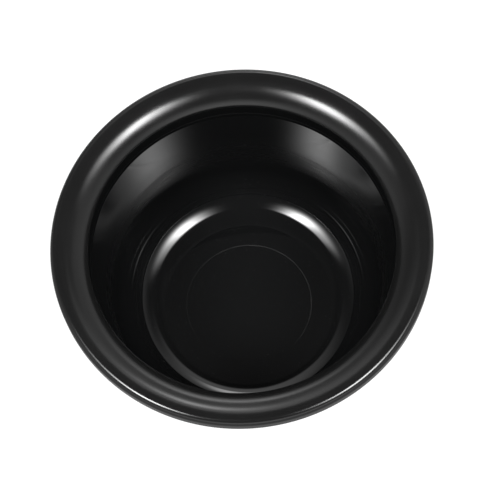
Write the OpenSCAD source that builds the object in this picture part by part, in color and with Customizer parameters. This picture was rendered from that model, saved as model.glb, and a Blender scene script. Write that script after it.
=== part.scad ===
// Hair color bowl: a round mixing bowl for tint, made as three pieces that press together.
//
//   bowl_shell  glossy moulded body: floor, wall, top flange and the foot that holds the grip ring
//   rim_ring    satin rolled rim: a hollow cap moulding that snaps over the shell's flange
//   foot_ring   soft rubber ring, pressed into the foot so that the bowl doesn't slide
//
// Each piece is a body of revolution about +Z. The origin is the centre of the face it stands on.
// Millimetres and degrees. An outline is a list of [radius, height] points, taken anticlockwise.

/* [Overall] */
// Diameter over the rim
rim_d = 130; // [124:1:140]
// Height from the table to the crown of the rim
bowl_h = 70.6; // [66:0.1:78]
// Thickness of the moulded wall and floor
wall_t = 2.4; // [2:0.1:2.8]
// Lean of the wall away from vertical
wall_lean = 6.4; // [4:0.1:9]

/* [Floor] */
// Height of the inner floor above the table
floor_z = 5.5; // [5.2:0.1:6.5]
// Radius of the sweep between the floor and the wall
sweep_r = 17; // [14:0.5:18]
// Diameter of the witness circle that the foot leaves in the floor
witness_d = 46.7; // [44:0.1:50]
// Width of the witness circle
witness_w = 0.5; // [0.4:0.1:0.8]
// Depth of the witness circle
witness_depth = 0.03; // [0.02:0.01:0.1]

/* [Rim] */
// Radius of the outer top corner, where the rim is highest
corner_r = 2.2; // [2:0.1:2.6]
// Radius of the roll that falls inward from that corner
roll_r = 12; // [11.5:0.1:12.5]
// How far the roll turns before it ends at the seam with the shell
roll_turn = 57; // [53:1:58]
// Height of the outer skirt, from the crown down
skirt_h = 5.3; // [5.1:0.05:5.7]
// Thickness of the rim moulding
rim_t = 1.7; // [1.5:0.1:1.8]

/* [Collar] */
// How far the upright collar of the shell stands inside the rim
collar_in = 0.15; // [0.1:0.05:0.4]
// Depth of the fine step in the collar, from the crown down
step_depth = 10.9; // [10:0.1:12]
// Width of that step
step_w = 0.25; // [0.2:0.05:0.5]
// Depth of the collar's foot, from the crown down, where the wall begins to lean
collar_depth = 12.8; // [12.5:0.1:15]

/* [Foot] */
// Outer diameter of the moulded foot
foot_d = 66.7; // [64:0.1:70]
// Height of the foot's rims above the table
foot_lift = 1; // [0.6:0.1:1.4]
// Width of the grip ring
grip_w = 5; // [4:0.1:5.4]
// Height of the grip ring
grip_h = 3.1; // [2.8:0.1:3.2]
// Number of tread grooves in the grip ring
tread_count = 2; // [1:1:3]

/* [Hidden] */
$fn = 180;

// Clearance between pieces that press or snap together
gap = 0.1;
press_gap = 0.05;

// Rim: the outer corner and the roll meet at the crown, and the roll ends on the seam
rim_r = rim_d / 2;
crown_r = rim_r - corner_r;
corner_c = [crown_r, bowl_h - corner_r];
roll_c = [crown_r, bowl_h - roll_r];
roll_in_r = roll_r - rim_t;
seam_edge_r = 0.3;
seam_edge_c = roll_c + (roll_r - seam_edge_r) * [-sin(roll_turn), cos(roll_turn)];
seam_z = seam_edge_c[1] - seam_edge_r;
mouth_r = seam_edge_c[0] - seam_edge_r;
skirt_z = bowl_h - skirt_h;
skirt_edge_r = 0.35;

// Snap bead inside the skirt, and the flange of the shell that it holds
bead_w = 1;
bead_in_r = rim_r - rim_t - bead_w;
bead_h = 0.75;
bead_lead = 0.3;
flange_z = skirt_z + bead_h + gap;
flange_t = 1.8;
flange_top = flange_z + flange_t;
flange_r = rim_r - rim_t - gap;
flange_play = 0.2;
gusset = 3.4;
seat_z = seam_z - gap;

// Collar: an upright face from the seat down, with a fine step, then the wall leans in to the sweep
collar_r = mouth_r - collar_in;
collar_out_r = collar_r + wall_t;
collar_edge_r = 0.15;
collar_blend = 2;
step_z = bowl_h - step_depth;
step_edge_r = 0.18;
lip = [collar_r - step_w, bowl_h - collar_depth];
wall_dir = [sin(wall_lean), cos(wall_lean)];
wall_out = [cos(wall_lean), -sin(wall_lean)];
wall_foot_r = lip[0] - (lip[1] - floor_z) * tan(wall_lean);
sweep_tangent = sweep_r * tan((90 - wall_lean) / 2);
sweep_c = [wall_foot_r - sweep_tangent, floor_z + sweep_r];
sweep_steps = 36;
edge_steps = 8;
corner_steps = 18;
roll_steps = 36;

// Foot: two rims with the groove for the grip ring between them
under_z = floor_z - wall_t;
foot_r = foot_d / 2;
foot_in_r = witness_d / 2;
groove_mid_r = (foot_r + foot_in_r) / 2;
groove_in_r = groove_mid_r - grip_w / 2 - press_gap;
groove_out_r = groove_mid_r + grip_w / 2 + press_gap;
groove_z = grip_h + gap;
foot_edge = 0.4;
grip_edge_r = 0.5;
tread_w = 0.5;
tread_depth = 0.4;
gate_r = 2.5;
gate_depth = 0.4;
gate_nub_r = 0.8;

// Points along an arc, from one angle to another
function arc(centre, r, from, to, steps) =
    [for (i = [0:steps]) centre + r * [cos(from + (to - from) * i / steps),
                                       sin(from + (to - from) * i / steps)]];

// The witness circle: a shallow V cut into the floor, from the outside in
function witness_line(r) =
    [[r + witness_w / 2, floor_z], [r, floor_z - witness_depth], [r - witness_w / 2, floor_z]];

// Radius at which the underside of the roll is at a given height
function roll_under(z) = roll_c[0] - sqrt(roll_in_r ^ 2 - (z - roll_c[1]) ^ 2);

module lathe(outline) {
    rotate_extrude() polygon(outline);
}

module bowl_shell() {
    color([0.02, 0.02, 0.022]) difference() {
        lathe(concat(
            [[0, under_z], [foot_in_r, under_z]],
            // Inner rim of the foot
            [[foot_in_r, foot_lift + foot_edge], [foot_in_r + foot_edge, foot_lift]],
            [[groove_in_r, foot_lift], [groove_in_r, groove_z]],
            // Groove, then the outer rim of the foot
            [[groove_out_r, groove_z], [groove_out_r, foot_lift]],
            [[foot_r - foot_edge, foot_lift], [foot_r, foot_lift + foot_edge]],
            // Underside of the sweep, and the outer face of the wall
            arc(sweep_c, sweep_r + wall_t, asin((foot_r - sweep_c[0]) / (sweep_r + wall_t)) - 90,
                -wall_lean, sweep_steps),
            [lip + wall_t * wall_out, [collar_out_r, lip[1] + collar_blend]],
            // Gusset, flange, and the slope under the rim's roll
            [[collar_out_r, flange_z - gusset], [collar_out_r + gusset, flange_z]],
            [[flange_r, flange_z], [flange_r, flange_top]],
            [[roll_under(flange_top) + flange_play, flange_top]],
            [[roll_under(seam_z) + flange_play, seat_z]],
            // Seat of the rim, and the collar with its fine step
            arc([collar_r + collar_edge_r, seat_z - collar_edge_r], collar_edge_r, 90, 180, edge_steps),
            [[collar_r, step_z]],
            arc([lip[0] + step_edge_r, step_z - step_edge_r], step_edge_r, 90, 180, edge_steps),
            [lip],
            // Wall and sweep, then the floor with its witness circle
            arc(sweep_c, sweep_r, -wall_lean, -90, sweep_steps),
            witness_line(foot_in_r),
            [[0, floor_z]]
        ));
        // Shallow dish around the moulding gate
        difference() {
            translate([0, 0, under_z - gap]) cylinder(r = gate_r, h = gate_depth + gap);
            translate([0, 0, under_z]) cylinder(r = gate_nub_r, h = gate_depth + gap);
        }
    }
}

module rim_ring() {
    color([0.05, 0.05, 0.052]) lathe(concat(
        // Edge at the seam, and the land that sits on the shell
        arc(seam_edge_c, seam_edge_r, 90 + roll_turn, 270, edge_steps),
        // Inside of the channel: under the roll and round the corner
        arc(roll_c, roll_in_r, 90 + acos((seam_z - roll_c[1]) / roll_in_r), 90, roll_steps),
        arc(corner_c, corner_r - rim_t, 90, 0, edge_steps),
        // Down the skirt, and round the snap bead
        [[rim_r - rim_t, skirt_z + bead_h], [bead_in_r, skirt_z + bead_h]],
        [[bead_in_r, skirt_z + bead_lead], [bead_in_r + bead_lead, skirt_z]],
        // Outer face from the bottom edge up to the corner, and back over the top
        arc([rim_r - skirt_edge_r, skirt_z + skirt_edge_r], skirt_edge_r, -90, 0, edge_steps),
        arc(corner_c, corner_r, 0, 90, corner_steps),
        arc(roll_c, roll_r, 90, 90 + roll_turn, roll_steps)
    ));
}

module foot_ring() {
    in_r = groove_mid_r - grip_w / 2;
    out_r = groove_mid_r + grip_w / 2;
    color([0.035, 0.035, 0.035]) difference() {
        lathe(concat(
            arc([in_r + grip_edge_r, grip_edge_r], grip_edge_r, 180, 270, edge_steps),
            arc([out_r - grip_edge_r, grip_edge_r], grip_edge_r, -90, 0, edge_steps),
            [[out_r, grip_h], [in_r, grip_h]]
        ));
        for (i = [1:tread_count]) {
            tread_r = in_r + grip_w * i / (tread_count + 1);
            lathe([[tread_r - tread_w / 2, -gap], [tread_r + tread_w / 2, -gap],
                   [tread_r, tread_depth]]);
        }
    }
}

bowl_shell();
rim_ring();
foot_ring();
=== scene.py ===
import math

import bpy
import numpy as np
from mathutils import Matrix, Vector


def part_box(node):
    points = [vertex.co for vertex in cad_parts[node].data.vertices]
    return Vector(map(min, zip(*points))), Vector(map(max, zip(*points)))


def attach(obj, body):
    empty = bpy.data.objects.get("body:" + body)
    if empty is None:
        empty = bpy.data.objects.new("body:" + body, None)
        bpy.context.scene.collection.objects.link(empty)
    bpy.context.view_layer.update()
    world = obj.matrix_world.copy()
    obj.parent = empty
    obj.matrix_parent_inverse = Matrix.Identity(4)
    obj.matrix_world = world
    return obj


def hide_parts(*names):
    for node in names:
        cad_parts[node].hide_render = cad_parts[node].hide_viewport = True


# Hair color bowl: the three turned pieces of the CAD, rebuilt from their own sections as fine lathes,
# with procedural finishes, a pale floor, soft studio light and a camera at the photo's angle.
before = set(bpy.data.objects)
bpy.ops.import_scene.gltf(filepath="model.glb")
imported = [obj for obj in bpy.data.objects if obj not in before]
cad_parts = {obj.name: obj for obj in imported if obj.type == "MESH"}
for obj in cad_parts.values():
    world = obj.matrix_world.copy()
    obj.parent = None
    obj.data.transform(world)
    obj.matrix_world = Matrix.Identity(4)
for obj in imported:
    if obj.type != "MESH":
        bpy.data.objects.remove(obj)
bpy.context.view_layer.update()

MM = 0.001
SEGMENTS = 256                   # Facets round each lathe
TOUCH = 1e-7                     # Points closer than this lie together
HOLD = 0.25 * MM                 # How near a hold ring sits to the end of a long span
LONG_SPAN = 1.5 * MM
SHARP_TURN = math.radians(24)    # A turn in the section that shades as an edge
SHALLOW = 0.2 * MM               # The witness circle is cut less deep than this
HALF_WALL = 1.2 * MM             # Half the thickness of the shell's wall

_, rim_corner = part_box("rim_ring")
RIM_R, RIM_TOP = rim_corner[0], rim_corner[2]


# ---------------------------------------------------------------- turned pieces

def section(node):
    """A turned node's own half section, as (radius, height) in order, and whether it closes on itself."""
    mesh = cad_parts[node].data
    co = np.array([v.co for v in mesh.vertices])
    polar = np.stack([np.hypot(co[:, 0], co[:, 1]), co[:, 2]], 1)
    on_seam = (np.abs(co[:, 1]) < TOUCH) & (co[:, 0] > 0)
    rings = np.unique(polar[on_seam].round(8), axis=0)
    nearest = np.array([np.argmin(((rings - p) ** 2).sum(1)) for p in polar])
    links = {i: set() for i in range(len(rings))}
    for edge in mesh.edges:
        a, b = (int(nearest[i]) for i in edge.vertices)
        if a != b:
            links[a].add(b)
            links[b].add(a)
    ends = [i for i in links if len(links[i]) == 1]
    order = [ends[0] if ends else 0]
    while onward := [i for i in sorted(links[order[-1]]) if i not in order]:
        order.append(onward[0])
    points = [tuple(rings[i]) for i in order]
    if ends:
        points = [(0.0, points[0][1])] + points + [(0.0, points[-1][1])]
    return points, not ends


def anticlockwise(points):
    area = sum(a[0] * b[1] - b[0] * a[1] for a, b in zip(points, points[1:] + points[:1]))
    return points if area > 0 else points[::-1]


def hold(points, closed):
    """Adds a ring close to each end of a long span, so that smooth shading stays true along it."""
    out = []
    spans = list(zip(points, points[1:] + points[:1]))
    for a, b in spans if closed else spans[:-1]:
        out.append(a)
        length = math.dist(a, b)
        if length > LONG_SPAN:
            for t in (HOLD / length, 1 - HOLD / length):
                out.append(tuple(p + (q - p) * t for p, q in zip(a, b)))
    return out if closed else out + [points[-1]]


def lathe(points, closed):
    """Vertices and faces of a section turned about the bowl's axis."""
    vertices, rings, faces = [], [], []
    for r, z in points:
        count = SEGMENTS if r > TOUCH else 1
        rings.append(range(len(vertices), len(vertices) + count))
        for i in range(count):
            angle = math.tau * i / SEGMENTS
            vertices.append((r * math.cos(angle), r * math.sin(angle), z))
    pairs = list(zip(rings, rings[1:] + rings[:1]))
    for low, high in pairs if closed else pairs[:-1]:
        for i in range(SEGMENTS):
            j = (i + 1) % SEGMENTS
            loop = [low[i % len(low)], low[j % len(low)], high[j % len(high)], high[i % len(high)]]
            faces.append(list(dict.fromkeys(loop)))
    return vertices, faces


def turned(name, node, finish):
    """A fine, smooth lathe of a CAD node's section, which stands for that node."""
    points, closed = section(node)
    vertices, faces = lathe(hold(anticlockwise(points), closed), closed)
    mesh = bpy.data.meshes.new(name)
    mesh.from_pydata(vertices, [], faces)
    mesh.update()
    mesh.set_sharp_from_angle(angle=SHARP_TURN)
    mesh.materials.append(finish)
    piece = bpy.data.objects.new(name, mesh)
    bpy.context.scene.collection.objects.link(piece)
    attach(piece, "root")
    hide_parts(node)


def shell_marks():
    """Where the shell's finish changes: the foot of its upright collar, the height of the floor inside,
    and the radius of the witness circle."""
    points, _ = section("bowl_shell")
    upright = [(a[0], min(a[1], b[1])) for a, b in zip(points, points[1:]) if abs(a[0] - b[0]) < TOUCH]
    collar_foot = min(point for point in upright if point[1] > RIM_TOP / 2)
    floor_top = max(z for r, z in points if r < TOUCH)
    witness = min(r for r, z in points if TOUCH < floor_top - z < SHALLOW)
    return collar_foot, floor_top, witness


(COLLAR_R, COLLAR_FOOT), FLOOR_TOP, WITNESS_R = shell_marks()
MID_WALL = COLLAR_R + HALF_WALL


# ---------------------------------------------------------------- node helpers

MIX_A, MIX_B, MIX_RESULT = 6, 7, 2    # The colour sockets of a Mix node
PLASTIC_IOR = 1.5


class Nodes:
    """Short calls for building a node tree."""

    def __init__(self, tree):
        self.tree = tree
        tree.nodes.clear()

    def add(self, kind, inputs=None, **settings):
        node = self.tree.nodes.new(kind)
        for key, value in settings.items():
            setattr(node, key, value)
        for key, value in (inputs or {}).items():
            self.put(node.inputs[key], value)
        return node

    def put(self, socket, value):
        if isinstance(value, bpy.types.NodeSocket):
            self.tree.links.new(value, socket)
        else:
            socket.default_value = value

    def math(self, operation, *values):
        node = self.add("ShaderNodeMath", operation=operation)
        for socket, value in zip(node.inputs, values):
            self.put(socket, value)
        return node.outputs[0]

    def step(self, value, low, high, out_low=0.0, out_high=1.0):
        """A smooth step from out_low to out_high, as value goes from low to high."""
        node = self.add("ShaderNodeMapRange", interpolation_type="SMOOTHSTEP")
        for socket, number in zip(node.inputs, (value, low, high, out_low, out_high)):
            self.put(socket, number)
        return node.outputs[0]

    def noise(self, vector, scale, detail=2.0, rough=0.5):
        return self.add("ShaderNodeTexNoise", {
            "Vector": vector, "Scale": scale, "Detail": detail, "Roughness": rough}).outputs[0]

    def mix(self, factor, a, b):
        node = self.add("ShaderNodeMix", {"Factor": factor, MIX_A: a, MIX_B: b}, data_type="RGBA")
        return node.outputs[MIX_RESULT]

    def bump(self, height, distance, strength, normal=None):
        inputs = {"Height": height, "Distance": distance, "Strength": strength}
        if normal is not None:
            inputs["Normal"] = normal
        return self.add("ShaderNodeBump", inputs).outputs[0]

    def plastic(self, colour, rough, normal, specular=0.5):
        """Ends a material in a plastic or rubber surface."""
        shader = self.add("ShaderNodeBsdfPrincipled", {
            "Base Color": colour, "Roughness": rough, "IOR": PLASTIC_IOR, "Normal": normal,
            "Specular IOR Level": specular})
        self.add("ShaderNodeOutputMaterial", {0: shader.outputs[0]})


def material(name):
    mat = bpy.data.materials.new(name)
    mat.use_nodes = True
    return mat, Nodes(mat.node_tree)


def grey(value, tint=0.0):
    """A neutral colour, a little blue with tint above 0."""
    return (value * (1 - tint), value, value * (1 + tint), 1)


def place(n):
    """Object position, and its radius, height and turn about the bowl's axis."""
    position = n.add("ShaderNodeTexCoord").outputs["Object"]
    xyz = n.add("ShaderNodeSeparateXYZ", {0: position}).outputs
    radius = n.math("SQRT", n.math("ADD", n.math("POWER", xyz[0], 2.0), n.math("POWER", xyz[1], 2.0)))
    turn = n.math("ARCTAN2", xyz[1], xyz[0])
    return position, radius, xyz[2], turn


def around(n, radius, height, turn, across, along):
    """A vector for texture drawn out round the bowl: fine across the section, long along the turn."""
    return n.add("ShaderNodeCombineXYZ", {
        0: n.math("MULTIPLY", radius, across), 1: n.math("MULTIPLY", height, across),
        2: n.math("MULTIPLY", turn, along)}).outputs[0]


def bell(n, value, width):
    """Falls from 1 at zero to about a third at one width on either side."""
    ratio = n.math("DIVIDE", value, width)
    return n.math("POWER", math.e, n.math("MULTIPLY", n.math("MULTIPLY", ratio, ratio), -1.0))


# ---------------------------------------------------------------- materials

BLUE_TINT = 0.03
BLEND = 0.05 * MM                     # Width of the change of finish at the collar's edges
WITNESS_LINE_W = 0.16 * MM                    # Half width of the pale line painted into the witness circle as its highlight
HIGHLIGHT_SIDE = math.radians(35)          # Where the painted highlight is strongest: the far right, where the light catches the circle
SCUFF_TOP = RIM_TOP - 19.0 * MM       # The stirred band of the wall: it comes in between the first two
SCUFF_HIGH = RIM_TOP - 38.0 * MM      # heights, and goes out between the last two
SCUFF_LOW = RIM_TOP - 42.0 * MM
SCUFF_FOOT = RIM_TOP - 47.0 * MM
HANDLED = 1.6 * MM                    # Depth of the rim's crown that hands have worn smoother
LAND = 0.5 * MM                       # Depth of the grip ring's scuffed land


def witness_highlight(n, radius, height, turn):
    """A pale line painted into the witness circle as its highlight: strongest to the far right, where the
    light catches it, and patchy all round.
    """
    line = bell(n, n.math("SUBTRACT", radius, WITNESS_R), WITNESS_LINE_W)
    on_floor = n.step(height, FLOOR_TOP + 2.0 * MM, FLOOR_TOP + 1.0 * MM)
    facing = n.math("COSINE", n.math("SUBTRACT", turn, HIGHLIGHT_SIDE))
    more = n.step(facing, -0.3, 0.9, 0.30, 1.0)
    patches = n.noise(around(n, radius, height, turn, 0.0, 2.5), 1.0, 2.0)
    patchy = n.step(patches, 0.35, 0.65, 0.5, 1.0)
    return n.math("MULTIPLY", n.math("MULTIPLY", line, on_floor), n.math("MULTIPLY", more, patchy))


def gloss_shell():
    """Mirror-gloss black moulding: hairline scratches round it, smears, a stirred band and a little
    dust. Its collar is matte."""
    mat, n = material("gloss_shell")
    position, radius, height, turn = place(n)
    inside = n.step(radius, MID_WALL, MID_WALL - BLEND)
    on_collar = n.math("MULTIPLY", n.step(height, COLLAR_FOOT - BLEND, COLLAR_FOOT + BLEND), inside)
    scuff = n.math("MULTIPLY", n.step(height, SCUFF_TOP, SCUFF_HIGH), n.step(height, SCUFF_FOOT, SCUFF_LOW))
    scratch = n.noise(around(n, radius, height, turn, 5200.0, 2.2), 1.0, 2.0, 0.6)
    hairline = n.step(scratch, 0.70, 0.76)
    smear = n.noise(around(n, radius, height, turn, 260.0, 1.6), 1.0, 4.0)
    dust = n.step(n.noise(position, 2600.0, 0.0), 0.80, 0.86)

    cloud = n.noise(position, 38.0, 3.0)
    colour = n.mix(cloud, grey(0.0040, BLUE_TINT), grey(0.0052, BLUE_TINT))
    colour = n.mix(n.math("MULTIPLY", dust, 0.5), colour, grey(0.05))
    # painted highlight: a pale line along the witness circle, strongest to the far right
    colour = n.mix(witness_highlight(n, radius, height, turn), colour, grey(0.030))

    rough = n.math("ADD", n.step(smear, 0.35, 0.75, 0.045, 0.09), n.math("MULTIPLY", hairline, 0.05))
    scuffed = n.math("MULTIPLY", scuff, n.step(smear, 0.2, 0.8, 0.17, 0.26))
    rough = n.math("ADD", rough, scuffed)
    rough = n.math("ADD", rough, n.math("MULTIPLY", on_collar, 0.26))
    shine = n.math("SUBTRACT", n.step(scuff, 0.0, 1.0, 0.5, 0.34), n.math("MULTIPLY", on_collar, 0.5))
    n.plastic(colour, rough, n.bump(scratch, 0.002 * MM, 0.12), shine)
    return mat


def satin_rim():
    """Satin black rim: fine even grain, blotches drawn out round it, worn smoother along its crown."""
    mat, n = material("satin_rim")
    position, radius, height, turn = place(n)
    grain = n.noise(position, 2400.0, 3.0, 0.6)
    blotch = n.noise(position, 55.0, 4.0, 0.6)
    drawn = n.noise(around(n, radius, height, turn, 900.0, 3.0), 1.0, 3.0)
    handled = n.step(height, RIM_TOP - HANDLED, RIM_TOP)

    colour = n.mix(blotch, grey(0.0046), grey(0.0072))
    colour = n.mix(n.math("MULTIPLY", grain, 0.35), colour, grey(0.012))
    uneven = n.math("ADD", n.math("MULTIPLY", blotch, 0.6), n.math("MULTIPLY", drawn, 0.4))
    rough = n.step(uneven, 0.30, 0.70, 0.16, 0.22)
    rough = n.math("SUBTRACT", rough, n.math("MULTIPLY", handled, 0.03))
    fine = n.bump(grain, 0.03 * MM, 0.22)
    n.plastic(colour, rough, n.bump(drawn, 0.04 * MM, 0.10, fine))
    return mat


def grip_rubber():
    """Matt black rubber: pitted, with pale scuffs on the land that stands on the table."""
    mat, n = material("grip_rubber")
    position, _, height, _ = place(n)
    pits = n.noise(position, 1700.0, 4.0, 0.65)
    blotch = n.noise(position, 140.0, 3.0)
    scuff = n.math("MULTIPLY", n.step(height, LAND, 0.0), n.step(blotch, 0.45, 0.7))
    colour = n.mix(pits, grey(0.014), grey(0.030))
    colour = n.mix(n.math("MULTIPLY", scuff, 0.6), colour, grey(0.075))
    n.plastic(colour, n.step(blotch, 0.2, 0.8, 0.72, 0.92), n.bump(pits, 0.12 * MM, 0.5))
    return mat


# ---------------------------------------------------------------- studio

FLOOR_SIZE = 6.0
PAPER_SEEN = 0.98        # Brightness of the floor and the backdrop to the camera
PAPER_MIRRORED = 0.24    # Brightness of the floor in the bowl's own gloss: painted shade, kept dimmer than the floor the camera sees to stand in for the shadow round the bowl


def paper():
    """Pale paper, clear from below so that the foot can be looked at."""
    mat, n = material("paper")
    position = n.add("ShaderNodeTexCoord").outputs["Object"]
    colour = n.mix(n.noise(position, 30.0, 5.0), grey(0.06), grey(0.08))
    # painted shade: the floor glows less in the bowl's reflections than to the camera, in place of the
    # shadow round the bowl
    seen = n.add("ShaderNodeLightPath").outputs["Is Camera Ray"]
    shader = n.add("ShaderNodeBsdfPrincipled", {
        "Base Color": colour, "Roughness": 0.9, "Emission Color": grey(1.0),
        "Emission Strength": n.step(seen, 0.0, 1.0, PAPER_MIRRORED, PAPER_SEEN)})
    from_below = n.add("ShaderNodeNewGeometry").outputs["Backfacing"]
    clear = n.add("ShaderNodeBsdfTransparent")
    either = n.add("ShaderNodeMixShader", {0: from_below, 1: shader.outputs[0], 2: clear.outputs[0]})
    n.add("ShaderNodeOutputMaterial", {0: either.outputs[0]})
    return mat


def studio_floor():
    half = FLOOR_SIZE / 2
    corners = [(-half, -half, 0), (half, -half, 0), (half, half, 0), (-half, half, 0)]
    mesh = bpy.data.meshes.new("studio_floor")
    mesh.from_pydata(corners, [], [(0, 1, 2, 3)])
    mesh.materials.append(paper())
    floor = bpy.data.objects.new("studio_floor", mesh)
    bpy.context.scene.collection.objects.link(floor)


# Light is described by the direction it comes from, in degrees: an azimuth, clockwise seen from above
# with 0 behind the bowl and 180 at the camera, and a rise above the horizon.
FRONT, BACK_LEFT = 180.0, 312.0
EDGE_STARTS, EDGE_ENDS = 1.1, 1.9    # A panel's upper edge, as shares of its height above the centre


def off_axis(n, azimuth, centre):
    """How far an azimuth is to one side of a centre."""
    return n.math("WRAP", n.math("SUBTRACT", azimuth, centre), 180.0, -180.0)


def glow(n, azimuth, rise, strength, at, aside, down, up):
    """One soft panel, centred at (azimuth, rise). It fades aside and downward, and ends cleanly above."""
    height = n.math("SUBTRACT", rise, at[1])
    below = bell(n, n.math("MINIMUM", height, 0.0), down)
    above = n.step(height, up * EDGE_ENDS, up * EDGE_STARTS)
    side = bell(n, off_axis(n, azimuth, at[0]), aside)
    return n.math("MULTIPLY", n.math("MULTIPLY", side, strength), n.math("MULTIPLY", below, above))


def panels(n, azimuth, rise):
    """Two bright panels in front with a little spill beside them, and weak light behind and above."""
    def panel(strength, **shape):
        return glow(n, azimuth, rise, strength, **shape)

    front_left = panel(39.0, at=(239.5, 53.5), aside=14.0, down=8.1, up=6.4)
    front_right = panel(34.0, at=(127.8, 53.5), aside=16.5, down=8.0, up=6.9)
    left_spill = panel(5.0, at=(264.0, 55.0), aside=11.0, down=8.5, up=5.0)
    right_spill = panel(3.3, at=(100.0, 55.0), aside=12.0, down=8.5, up=5.0)
    back_light = panel(5.5, at=(9.0, 44.0), aside=7.5, down=4.0, up=3.0)
    back_haze = panel(1.4, at=(5.0, 48.0), aside=28.0, down=12.0, up=6.3)
    back_wall = panel(2.9, at=(7.0, 13.0), aside=20.0, down=5.5, up=3.0)
    overhead = panel(0.05, at=(0.0, 71.0), aside=60.0, down=2.0, up=1.5)
    return front_left, front_right, left_spill, right_spill, back_light, back_haze, back_wall, overhead


def surroundings(n, azimuth, rise):
    """The dim room: its sides, darkest at the back left, the lighter lower part, and the ceiling."""
    front = bell(n, off_axis(n, azimuth, FRONT), 60.0)
    back_left = bell(n, off_axis(n, azimuth, BACK_LEFT), 30.0)
    level = n.math("SUBTRACT", n.step(front, 0.45, 0.05, 0.0, 0.38), n.math("MULTIPLY", back_left, 0.36))
    sides = n.math("MULTIPLY", n.step(rise, 50.0, 32.0), n.math("MAXIMUM", level, 0.0))
    low = n.math("MULTIPLY", n.step(rise, 32.0, 8.0), n.math("ADD", 0.12, n.math("MULTIPLY", front, 1.35)))
    ceiling = n.step(rise, 68.0, 60.0, 0.05, 0.06)
    return n.math("ADD", n.math("ADD", sides, low), ceiling)


def studio_light():
    """Soft light from all round, as the bowl sees it. The camera sees a plain pale backdrop."""
    world = bpy.data.worlds.new("studio")
    bpy.context.scene.world = world
    world.use_nodes = True
    n = Nodes(world.node_tree)
    xyz = n.add("ShaderNodeSeparateXYZ", {0: n.add("ShaderNodeTexCoord").outputs["Generated"]}).outputs
    azimuth = n.math("MULTIPLY", n.math("ARCTAN2", xyz[0], xyz[1]), math.degrees(1))
    rise = n.math("MULTIPLY", n.math("ARCSINE", xyz[2]), math.degrees(1))
    light = surroundings(n, azimuth, rise)
    for panel in panels(n, azimuth, rise):
        light = n.math("ADD", light, panel)
    colour = n.add("ShaderNodeCombineColor", {0: light, 1: light, 2: light}).outputs[0]
    seen = n.add("ShaderNodeLightPath").outputs["Is Camera Ray"]
    background = n.add("ShaderNodeBackground", {"Color": n.mix(seen, colour, grey(PAPER_SEEN))})
    n.add("ShaderNodeOutputWorld", {0: background.outputs[0]})


# The camera's place, found by fitting the photo's rim and floor. Distances are shares of the rim's radius.
CAMERA_RISE = math.radians(68.3)
CAMERA_ROLL = math.radians(-6.65)
CAMERA_DISTANCE = 8.458
CAMERA_SHIFT = (0.0407, -0.0601)
CAMERA_LENS = 117.0
CAMERA_SENSOR = 36.0
AIM_BELOW_CROWN = 1.04 * MM


def studio_camera():
    """The camera looks steeply down into the bowl, a little turned about its own axis."""
    data = bpy.data.cameras.new("camera")
    data.lens = CAMERA_LENS
    data.sensor_width = CAMERA_SENSOR
    back = Vector((0, -math.cos(CAMERA_RISE), math.sin(CAMERA_RISE)))
    right = Vector((1, 0, 0))
    up = back.cross(right)
    centre = Vector((0, 0, RIM_TOP - AIM_BELOW_CROWN))
    spot = centre + RIM_R * (CAMERA_DISTANCE * back + CAMERA_SHIFT[0] * right + CAMERA_SHIFT[1] * up)
    turn = Matrix((right, up, back)).transposed() @ Matrix.Rotation(CAMERA_ROLL, 3, "Z")
    camera = bpy.data.objects.new("camera", data)
    camera.matrix_world = Matrix.Translation(spot) @ turn.to_4x4()
    bpy.context.scene.collection.objects.link(camera)
    bpy.context.scene.camera = camera


def main():
    turned("shell", "bowl_shell", gloss_shell())
    turned("rim", "rim_ring", satin_rim())
    turned("grip", "foot_ring", grip_rubber())
    studio_floor()
    studio_light()
    studio_camera()
    bpy.context.scene.view_settings.view_transform = "Standard"


main()
